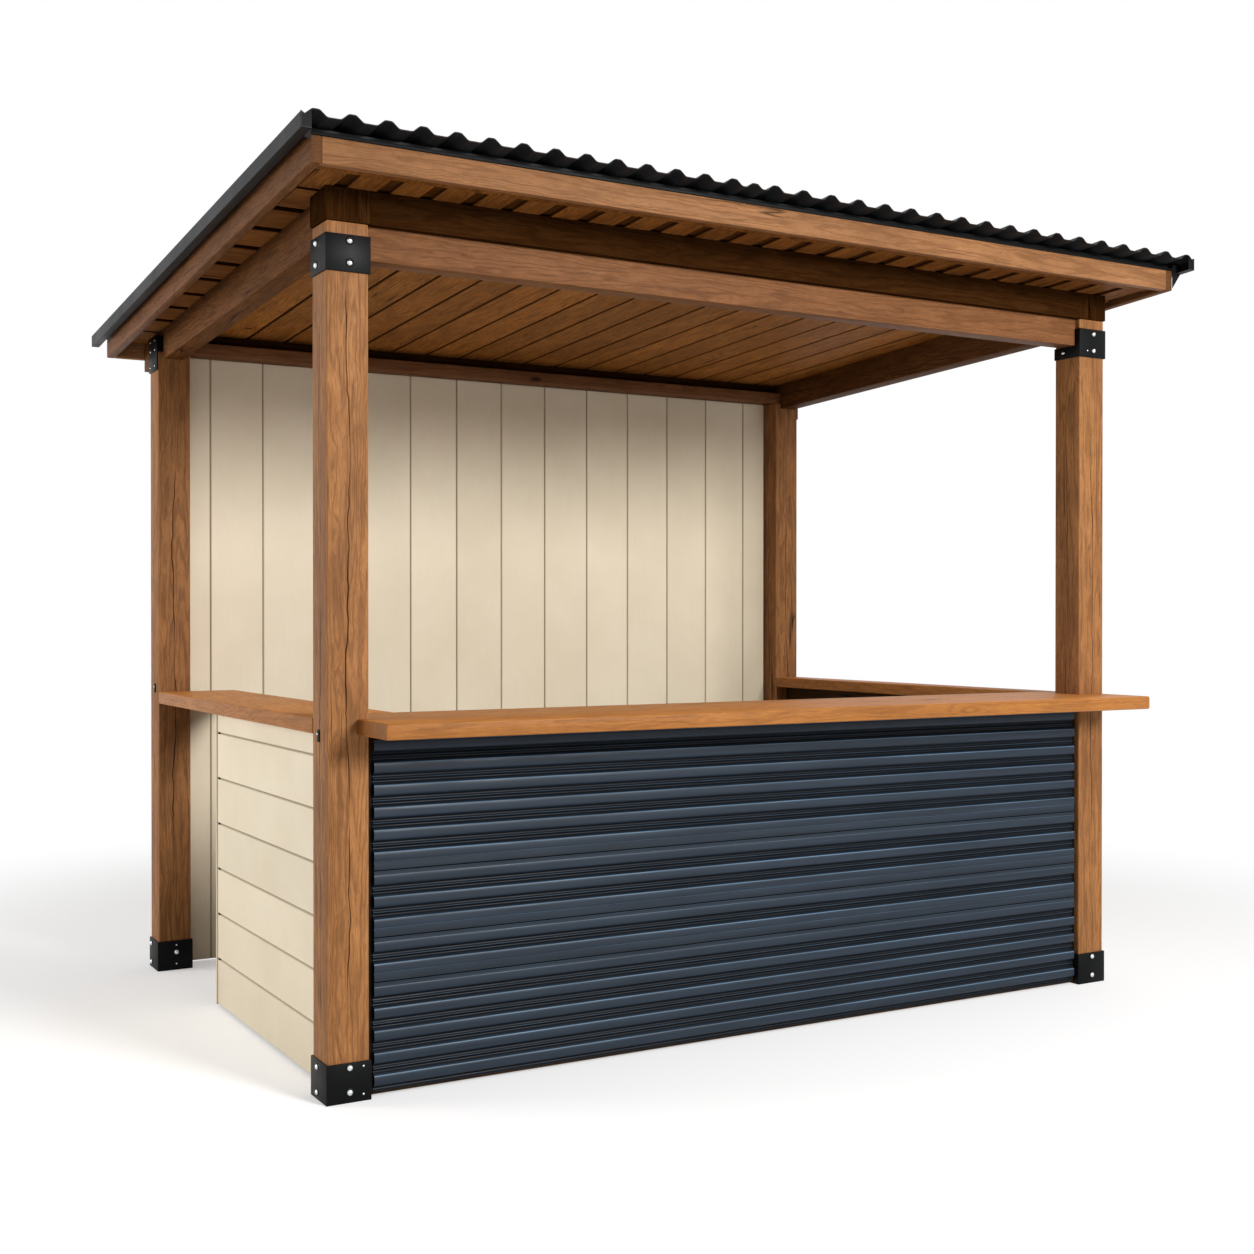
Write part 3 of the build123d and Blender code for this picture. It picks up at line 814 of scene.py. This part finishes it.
def board_field(node, spaced, board, slot, depth, first, shade, material, side=0, margin=0.0):
    """Boards a field under the roof with slotted boards, set side by side along X or Y.

    The field falls towards the back. On the side named by -1 or 1 it keeps an unslotted margin.
    """
    low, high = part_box(node)
    fall = (high.z - low.z - sizes().deck_thickness) / (high.y - low.y)
    foot = high.z - sizes().deck_thickness
    face = foot + depth
    eased = 0.002
    run = Y if spaced == X else X
    near = Vector((low.x, low.y, foot))
    far = Vector((high.x, high.y, face))
    strip_near = near.copy()
    strip_far = far.copy()
    if side < 0:
        near[run] += margin
        strip_far[run] = near[run]
    elif side > 0:
        far[run] -= margin
        strip_near[run] = far[run]
    count = round((high[spaced] - low[spaced]) / board)
    pitch = (high[spaced] - low[spaced]) / count
    shape = new_shape()
    for number in range(count):
        edge = low[spaced] + number * pitch
        near[spaced] = edge + slot / 2
        far[spaced] = edge + pitch - slot / 2
        add_block(shape, near, far, eased, first + 1 + number)
    if side:
        add_block(shape, strip_near, strip_far, eased, first - 1)
    add_block(shape, (low.x, low.y, face), high, 0, first)
    shade_above(shape, foot + 0.001, shade)
    lean(shape, fall, low.y)
    finish(f"{node}_boards", shape, material, "ceiling_boards", node)


class STALL_OT_ceiling(Operator):
    """Ceiling boards from front to back, with open grooves"""

    bl_idname = "stall.ceiling"
    bl_label = "Ceiling"

    def execute(self, context):
        material = stained_softwood("larch_amber_stain_boarding", colours().ceiling, Y, polish=0.06)
        depth = sizes().deck_thickness - sizes().deck_backing
        board_field("ceiling", X, sizes().deck_board, sizes().deck_groove, depth, 100, 0.85, material)
        return {"FINISHED"}


class STALL_OT_soffits(Operator):
    """Slotted boards under the four overhangs"""

    bl_idname = "stall.soffits"
    bl_label = "Soffits"

    def execute(self, context):
        size = sizes()
        across = stained_softwood("larch_brown_stain_soffit_across", colours().soffits, X, polish=0.05)
        back_to_front = stained_softwood("larch_brown_stain_soffit", colours().soffits, Y, polish=0.05)
        for row, side in ROWS:
            board_field(
                f"{row}_soffit", X, size.eave_board, size.eave_slot, size.eave_slot_depth, 200, 0.72,
                back_to_front, side, size.eave_margin)
        depth = size.deck_thickness - size.deck_backing
        for hand, side in HANDS:
            board_field(
                f"{hand}_soffit", Y, size.verge_board, size.verge_slot, depth, 300, 1.0, across, side,
                size.verge_margin)
        return {"FINISHED"}


def crest_lines(node):
    """Where a roof sheet's crests run: places across the roof, and the height and fall of their tops."""
    points = [vert.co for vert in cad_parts[node].data.vertices]
    low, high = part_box(node)
    back_top = max(point.z for point in points if point.y > high.y - 1e-4)
    fall = (high.z - back_top) / (high.y - low.y)
    tops = sorted(point.x for point in points if point.y < low.y + 1e-4 and point.z > high.z - 1e-4)
    least_gap = 0.03
    groups = [[tops[0]]]
    for place in tops[1:]:
        if place - groups[-1][-1] > least_gap:
            groups.append([])
        groups[-1].append(place)
    return [(group[0] + group[-1]) / 2 for group in groups], high.z, fall


class STALL_OT_roof(Operator):
    """Corrugated roof sheets with their trims, end caps, rims and screws"""

    bl_idname = "stall.roof"
    bl_label = "Roof"

    def execute(self, context):
        coat = powder_coated_steel("roof_sheet_anthracite_coat", colours().roof, 0.42, grit=0.006)
        black = black_steel()
        screws = new_shape()
        half_plate = 0.03
        trim_arris = 0.0008
        rows = [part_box(node)[0].y + half_plate for node in ("front_plate", "back_plate")]
        rows.insert(1, sum(rows) / 2)
        radius = sizes().roof_screw / 2
        outline = ((0, 0.9), (0.42, 0.9), (0.5, 0.75), (0.5, 0.3), (0.8, 0.28), (1.0, 0.1), (1.0, -0.4))
        head = [(radius * out, radius * up) for out, up in outline]
        for hand in ("left", "right"):
            sheet = f"{hand}_roof_sheet"
            finish(f"{sheet}_finished", new_shape(sheet), coat, "roof_metal", sheet, sharp=40)
            dress(f"{hand}_verge_trim", coat, "roof_metal", trim_arris, 1, segments=1)
            crests, top, fall = crest_lines(sheet)
            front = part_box(sheet)[0].y
            for crest in crests[::2]:
                for row in rows:
                    place = (crest, row, top - fall * (row - front))
                    add_turned(screws, head, place, (0, fall, 1), steps=10)
        finish("roof_screws", screws, coat, "roof_metal", sharp=30)

        web_width = 0.010
        overlap = 0.002
        rim_arris = 0.0015
        for row, side in ROWS:
            node = f"{row}_drip_strip"
            low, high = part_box(node)
            outer, inner = (low.y, high.y) if side < 0 else (high.y, low.y)
            points = [vert.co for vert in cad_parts[node].data.vertices]
            levels = [point.z for point in points if abs(point.y - outer) < 1e-4]
            rim_top = min(levels) + sizes().rim
            lip = sorted((outer + side * sizes().rim_reach, inner))
            web = sorted((inner + side * web_width, inner))
            shape = new_shape()
            add_block(
                shape, (low.x, lip[0], min(levels)), (high.x, lip[1], rim_top), rim_arris, 1, segments=2)
            add_block(shape, (low.x, web[0], rim_top - overlap), (high.x, web[1], max(levels)), 0, 1)
            lean(shape, fall, outer)
            finish(f"{node}_finished", shape, black, "roof_metal", node)

        plates = new_shape()
        plate_gauge = 0.002
        plate_below_trim = 0.012
        plate_tip = 0.026
        cap_height = 0.042
        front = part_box("front_fascia")[0].y
        for hand, side in HANDS:
            face = sided_box(f"{hand}_barge_board", side)[3]
            low, high, _, outer, inner = sided_box(f"{hand}_verge_trim", side)
            drop = sizes().left_end_drop if side < 0 else sizes().right_end_drop
            tip = outer - side * plate_gauge
            top = high.z - fall * (front - low.y) - plate_below_trim
            plate = ((face, top), (tip, top), (tip, top - plate_tip), (face, top - drop))
            foot = high.z - cap_height
            cap = (
                (outer, foot), (inner, foot), (inner, high.z + 0.005), (inner + side * 0.016, high.z - 0.007),
                (outer, high.z))
            for depth, outline in ((front, plate), (low.y + plate_gauge, cap)):
                plates.faces.new([plates.verts.new((across, depth, up)) for across, up in outline])
        bmesh.ops.recalc_face_normals(plates, faces=plates.faces)
        bmesh.ops.solidify(plates, geom=whole(plates), thickness=plate_gauge)
        finish("verge_end_plates", plates, black, "roof_metal")
        return {"FINISHED"}


class STALL_OT_counters(Operator):
    """Oiled counters with rounded edges"""

    bl_idname = "stall.counters"
    bl_label = "Counters"

    def execute(self, context):
        counters = (
            ("front_counter", "pine_amber_oil_across", X, 41),
            ("left_counter", "pine_amber_oil_back_to_front", Y, 42),
            ("right_counter", "pine_amber_oil_back_to_front", Y, 43),
        )
        for node, name, grain, number in counters:
            material = stained_softwood(
                name, colours().counters, grain, depth=0.72, gloss=0.45, polish=0.16, top_light=0.9)
            dress(node, material, "counter_timber", sizes().counter_arris, number, segments=3)
        return {"FINISHED"}


class STALL_OT_front(Operator):
    """Ribbed sheet under the front counter, with its seams, rails and end battens"""

    bl_idname = "stall.front"
    bl_label = "Front sheet"

    def execute(self, context):
        low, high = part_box("front_sheet")
        gauge = sizes().front_gauge
        crest = low.y
        valley = high.y - gauge
        count = int((high.z - low.z) // sizes().front_rib)
        pitch = (high.z - low.z) / count
        bead = valley - sizes().front_bead
        middle = pitch / 2
        half = sizes().front_crest / 2
        crown = 0.0007
        half_bead = 0.0052
        bend = 0.0028
        foot = middle - half - sizes().front_slope
        side_of_rib = (
            (bead, 0.0), (valley, half_bead), (valley, foot), (crest + crown, middle - half),
            (crest, middle - 0.4 * half))
        outline = side_of_rib + tuple((out, pitch - up) for out, up in reversed(side_of_rib))
        shape = new_shape()
        points = [shape.verts.new((low.x, out, low.z + up)) for out, up in outline]
        edges = [shape.edges.new(pair) for pair in zip(points, points[1:])]
        drawn = bmesh.ops.extrude_edge_only(shape, edges=edges)["geom"]
        moved = [part for part in drawn if isinstance(part, bmesh.types.BMVert)]
        bmesh.ops.translate(shape, vec=(high.x - low.x, 0, 0), verts=moved)
        bmesh.ops.spin(
            shape, geom=whole(shape), cent=(0, 0, 0), axis=(0, 0, 1), dvec=(0, 0, pitch), angle=0,
            steps=count - 1, use_duplicate=True)
        bmesh.ops.remove_doubles(shape, verts=shape.verts, dist=1e-5)
        bmesh.ops.recalc_face_normals(shape, faces=shape.faces)
        if sum(face.normal.y * face.calc_area() for face in shape.faces) > 0:
            bmesh.ops.reverse_faces(shape, faces=shape.faces)
        round_edges(shape, sharp_edges(shape), bend, 2)
        bmesh.ops.solidify(shape, geom=whole(shape), thickness=gauge * 0.5)
        # Painted shade: the deeper a point lies towards the hollows, the darker it is painted
        sunk = shape.verts.layers.float["painted_shade"]
        for vert in shape.verts:
            vert[sunk] = min(1.0, max(0.0, (vert.co.y - crest) / (valley - crest)))

        # Seams: two lips that close a hollow, with a dark line between them
        seam_arris = 0.0006
        lip = middle - half + 0.001
        near = crest + crown - 0.0002
        far = crest + crown + 0.002
        for seam in (5, 7, 10):
            level = low.z + seam * pitch
            for foot, top in ((level - 0.005, level + lip), (level - lip, level - 0.008)):
                add_block(shape, (low.x, near, foot), (high.x, far, top), seam_arris, 1)
            # Painted shade on the bands beside each seam
            for vert in shape.verts:
                if abs(vert.co.z - level) < 0.010 and vert.co.y < crest + 0.006:
                    vert[sunk] = 0.5
        coat = coated_front_sheet("front_sheet_slate_coat")
        finish("front_sheet_finished", shape, coat, "front_metal", "front_sheet", sharp=40)

        # The rails take the lining's stain, darkened as painted shade under the sheet
        dark = stained_softwood("larch_dark_stain_rail", colours().lining, X, polish=0.0)
        for number, node in enumerate(("front_top_rail", "front_bottom_rail"), start=51):
            dress(node, dark, "roof_timber", sizes().timber_arris, number)
        # Painted shade: black end battens fill the gaps beside the sheet's ends
        black = black_steel()
        low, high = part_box("front_top_rail")
        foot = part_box("front_bottom_rail")[1].z
        width = 0.045
        depth = 0.02
        battens = new_shape()
        for edge in (low.x, high.x - width):
            add_block(battens, (edge, low.y, foot), (edge + width, low.y + depth, low.z), 0.001, 1)
        finish("front_end_battens", battens, black, "black_steel")
        return {"FINISHED"}


def panel_grooves(top):
    """Heights of the grooves between a side panel's boards."""
    least_board = 0.04
    levels = []
    level = sizes().panel_first_board
    while level < top - least_board:
        levels.append(level)
        level += sizes().panel_board
    return levels


class STALL_OT_panels(Operator):
    """Side panels: painted level boards outside, lining boards inside in a stain darkened as painted shade"""

    bl_idname = "stall.panels"
    bl_label = "Side panels"

    def execute(self, context):
        paint = painted_boards("softwood_cream_paint_level", Y)
        # The lining's dark stain is partly painted shade
        dark = stained_softwood("larch_dark_stain_lining", colours().lining, Y, polish=0.05)
        gap = sizes().board_gap / 2
        lining_arris = 0.002
        for hand, side in HANDS:
            low, high, _, outer, inner = sided_box(f"{hand}_panel", side)
            levels = [low.z] + panel_grooves(high.z) + [high.z]
            split = inner + side * sizes().lining_thickness
            boards = new_shape()
            lining = new_shape()
            for number, (foot, top) in enumerate(zip(levels, levels[1:]), start=1):
                layers = (
                    (boards, outer, sizes().paint_chamfer, number),
                    (lining, inner, lining_arris, 60 + number),
                )
                for shape, face, arris, own_number in layers:
                    near, far = sorted((face, split))
                    add_block(
                        shape, (near, low.y, foot + gap), (far, high.y, top - gap), arris, own_number)
            # The tongue behind the gaps, darkened as painted shade
            near = (outer + split) / 2 - HALF_TONGUE
            far = (outer + split) / 2 + HALF_TONGUE
            add_block(boards, (near, low.y, low.z), (far, high.y, high.z), 0, 20, sunk=1.0)
            finish(f"{hand}_panel_boards", boards, paint, "cream_boards", f"{hand}_panel", sharp=25)
            finish(f"{hand}_panel_lining", lining, dark, "roof_timber")
        upright = painted_boards("softwood_cream_paint_upright", Z)
        dress("left_panel_trim", upright, "cream_boards", 0.0015, 21)
        return {"FINISHED"}


class STALL_OT_back_wall(Operator):
    """Painted upright boards of the back wall"""

    bl_idname = "stall.back_wall"
    bl_label = "Back wall"

    def execute(self, context):
        paint = painted_boards("softwood_cream_paint_upright", Z)
        low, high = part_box("back_wall")
        shape = new_shape()
        gap = sizes().board_gap / 2
        pitch = sizes().wall_board
        middle_groove = sizes().wall_groove
        boards = int((high.x - abs(middle_groove)) // pitch)
        grooves = [middle_groove + pitch * count for count in range(-boards, boards + 1)]
        edges = [low.x] + grooves + [high.x]
        for number, (left, right) in enumerate(zip(edges, edges[1:]), start=1):
            near = (left + gap, low.y, low.z)
            far = (right - gap, high.y, high.z)
            add_block(shape, near, far, sizes().paint_chamfer, number)
        # The tongue behind the gaps, darkened as painted shade
        near = (low.y + high.y) / 2 - HALF_TONGUE
        far = (low.y + high.y) / 2 + HALF_TONGUE
        add_block(shape, (low.x, near, low.z), (high.x, far, high.z), 0, 30, sunk=1.0)
        finish("back_wall_boards", shape, paint, "cream_boards", "back_wall", sharp=25)
        return {"FINISHED"}


class STALL_OT_steel(Operator):
    """Powder-coated shoes and head brackets"""

    bl_idname = "stall.steel"
    bl_label = "Shoes and brackets"

    def execute(self, context):
        coat = black_steel()
        for row in ("front", "back"):
            for hand in ("left", "right"):
                for kind in ("shoe", "head_bracket"):
                    dress(f"{row}_{hand}_{kind}", coat, "black_steel", sizes().steel_arris, 1)
        return {"FINISHED"}


class STALL_OT_bolts(Operator):
    """Dome bolts and small fixings in the steel, and peg bolts in the posts"""

    bl_idname = "stall.bolts"
    bl_label = "Bolts"

    def execute(self, context):
        zinc = bright_zinc("steel_bright_zinc_plate")
        black = black_steel()
        bolt = sizes().bolt_head / 2
        pin = sizes().pin_head / 2
        domes = new_shape()
        washers = new_shape()

        def set_bolt(radius, place, outward):
            """A dome head on a thin black washer."""
            rim = radius * 1.35
            washer = ((0, 0.0012), (radius * 1.25, 0.0012), (rim, 0.0006), (rim, -0.001))
            add_turned(washers, washer, place, outward)
            dome = ((0, 0.62), (0.45, 0.55), (0.78, 0.36), (0.95, 0.14), (1.0, -0.05))
            add_turned(domes, [(radius * out, 0.001 + radius * up) for out, up in dome], place, outward)

        forward = (0, -1, 0)
        backward = (0, 1, 0)
        for hand, side in HANDS:
            sideways = (side, 0, 0)
            low, high, middle, outer, inner = sided_box(f"front_{hand}_shoe", side)
            for height in (0.096, 0.029):
                set_bolt(bolt, (middle.x + 0.002, low.y, height), forward)
            if side < 0:
                for height in (0.097, 0.020):
                    set_bolt(pin, (middle.x + 0.041, low.y, height), forward)
            for height in (0.090, 0.020):
                set_bolt(bolt * 0.85, (outer, middle.y + 0.012, height), sideways)

            low, high, middle, outer, inner = sided_box(f"back_{hand}_shoe", side)
            set_bolt(bolt, (middle.x + 0.004, low.y, 0.067), forward)
            for height in (0.094, 0.024):
                set_bolt(pin, (middle.x + 0.004, low.y, height), forward)
            for height in (0.090, 0.020):
                set_bolt(bolt, (outer, middle.y + 0.035, height), sideways)
                set_bolt(bolt, (middle.x, high.y, height), backward)

            low, high, middle, outer, inner = sided_box(f"front_{hand}_head_bracket", side)
            for height in (high.z - 0.017, low.z + 0.025):
                set_bolt(bolt, (middle.x + 0.004, low.y, height), forward)
                set_bolt(bolt, (outer, middle.y + 0.015, height), sideways)
            set_bolt(bolt * 0.7, (inner, -0.923, 2.293), (-side, 0, 0))
            if side > 0:
                set_bolt(pin, (1.388, low.y, 2.294), forward)

            # Peg plates on the posts' outer faces
            for row, along, height in (("front", -0.934, 1.008), ("back", 0.927, 1.067)):
                outer = sided_box(f"{row}_{hand}_post", side)[3]
                face = outer + side * 0.004
                near, far = sorted((outer - side * 0.002, face))
                add_block(
                    washers, (near, along - 0.008, height - 0.022), (far, along + 0.008, height + 0.012),
                    0.002, 1, segments=2)
                set_bolt(pin, (face, along, height), sideways)

            # Plugs at the ends of the panels' grooves
            low, high, middle, outer, inner = sided_box(f"{hand}_panel", side)
            near, far = sorted((outer - side * 0.004, outer + side * 0.001))
            for level in panel_grooves(high.z):
                add_block(
                    washers, (near, high.y - 0.026, level - 0.003), (far, high.y - 0.010, level + 0.004),
                    0.0008, 1)

            low, high, middle, outer, inner = sided_box(f"back_{hand}_head_bracket", side)
            for height in (high.z - 0.016, high.z - 0.052, low.z + 0.018):
                for along in (-0.034, 0.034):
                    set_bolt(pin, (outer, middle.y + along, height), sideways)

        finish("bolt_heads", domes, zinc, "black_steel")
        finish("bolt_washers", washers, black, "black_steel")
        return {"FINISHED"}


def in_sight(tree):
    """One where the camera, a reflection or glass shows a surface, and nought where it only gives light."""
    ray = add(tree, "LightPath", out=None).outputs
    seen = add(tree, "Math", {0: ray["Is Camera Ray"], 1: ray["Is Glossy Ray"]}, operation="MAXIMUM")
    return add(tree, "Math", {0: seen, 1: ray["Is Transmission Ray"]}, operation="MAXIMUM")


class STALL_OT_stage(Operator):
    """Pale floor, soft white light and the camera"""

    bl_idname = "stall.stage"
    bl_label = "Stage"

    def execute(self, context):
        stage = context.scene.stall_stage
        scene = context.scene
        scene.view_settings.view_transform = "Standard"

        world = bpy.data.worlds.new("studio_sky")
        world.use_nodes = True
        scene.world = world
        tree = world.node_tree
        tree.nodes.clear()
        level = add(tree, "MapRange", {"Value": in_sight(tree), 3: stage.sky, 4: 1.0})
        sky = add(tree, "Background", {"Color": (1, 1, 1, 1), "Strength": level})
        add(tree, "OutputWorld", {"Surface": sky}, out=None)

        floor_shape = bmesh.new()
        bmesh.ops.create_grid(floor_shape, x_segments=1, y_segments=1, size=40.0)
        mesh = bpy.data.meshes.new("floor")
        floor_shape.to_mesh(mesh)
        floor_shape.free()
        floor = bpy.data.objects.new("floor", mesh)
        scene.collection.objects.link(floor)
        paper, tree = blank_material("studio_paper_matt_white")
        seen = in_sight(tree)
        lift = add(tree, "Math", {0: seen, 1: stage.floor_glow}, operation="MULTIPLY")
        matt = add(tree, "BsdfDiffuse", {"Color": tinted(colours().floor)})
        glow = add(tree, "Emission", {"Color": (1, 1, 1, 1), "Strength": lift})
        both = add(tree, "AddShader", {0: matt, 1: glow})
        place = add(tree, "TexCoord", out="Object")
        reach = add(tree, "VectorMath", {0: place}, out="Value", operation="LENGTH")
        far = add(tree, "MapRange", {"Value": reach, 1: 2.4, 2: 4.6}, interpolation_type="SMOOTHSTEP")
        far = add(tree, "Math", {0: far, 1: seen}, operation="MULTIPLY")
        white = add(tree, "Emission", {"Color": (1, 1, 1, 1), "Strength": 1.0})
        surface = add(tree, "MixShader", {0: far, 1: both, 2: white})
        add(tree, "OutputMaterial", {"Surface": surface}, out=None)
        mesh.materials.append(paper)

        lamps = (
            ("key_lamp", stage.key, (1.6, -8.4, 3.8), 2.4),
            ("fill_lamp", stage.fill, (-7.2, 2.6, 2.2), 3.0),
        )
        for name, power, place, width in lamps:
            lamp = bpy.data.lights.new(name, "AREA")
            lamp.energy = power
            lamp.shape = "DISK"
            lamp.size = width
            holder = bpy.data.objects.new(name, lamp)
            holder.location = place
            holder.rotation_euler = (Vector((0, 0, 1.0)) - Vector(place)).to_track_quat("-Z", "Y").to_euler()
            scene.collection.objects.link(holder)

        camera = bpy.data.cameras.new("camera")
        camera.sensor_fit = "HORIZONTAL"
        camera.sensor_width = 36.0
        camera.lens = stage.focal_length
        holder = bpy.data.objects.new("camera", camera)
        holder.location = stage.camera_place
        holder.rotation_euler = (pi / 2 - stage.camera_dip, 0, -stage.camera_turn)
        scene.collection.objects.link(holder)
        scene.camera = holder
        return {"FINISHED"}


OPERATORS = (
    STALL_OT_posts, STALL_OT_beams, STALL_OT_ceiling, STALL_OT_soffits, STALL_OT_roof, STALL_OT_counters,
    STALL_OT_front, STALL_OT_panels, STALL_OT_back_wall, STALL_OT_steel, STALL_OT_bolts, STALL_OT_stage)


class STALL_PT_dressing(Panel):
    """Lists the stall's pieces with the sizes and colours they take"""

    bl_idname = "STALL_PT_dressing"
    bl_label = "Market stall"
    bl_space_type = "VIEW_3D"
    bl_region_type = "UI"
    bl_category = "Stall"

    def draw(self, context):
        layout = self.layout
        for operator in OPERATORS:
            layout.operator(operator.bl_idname)
        for group in (context.scene.stall_sizes, context.scene.stall_colours, context.scene.stall_stage):
            box = layout.box()
            for name in group.bl_rna.properties.keys():
                if name not in ("rna_type", "name"):
                    box.prop(group, name)


CLASSES = (StallSizes, StallColours, StallStage) + OPERATORS + (STALL_PT_dressing,)


def register():
    """Adds the classes and the scene's settings."""
    for entry in CLASSES:
        bpy.utils.register_class(entry)
    bpy.types.Scene.stall_sizes = PointerProperty(type=StallSizes)
    bpy.types.Scene.stall_colours = PointerProperty(type=StallColours)
    bpy.types.Scene.stall_stage = PointerProperty(type=StallStage)


def unregister():
    """Takes them away again."""
    del bpy.types.Scene.stall_stage
    del bpy.types.Scene.stall_colours
    del bpy.types.Scene.stall_sizes
    for entry in reversed(CLASSES):
        bpy.utils.unregister_class(entry)


def main():
    """Dresses the stall."""
    register()
    for operator in OPERATORS:
        getattr(bpy.ops.stall, operator.bl_idname.split(".")[1])()


if __name__ == "__main__":
    main()
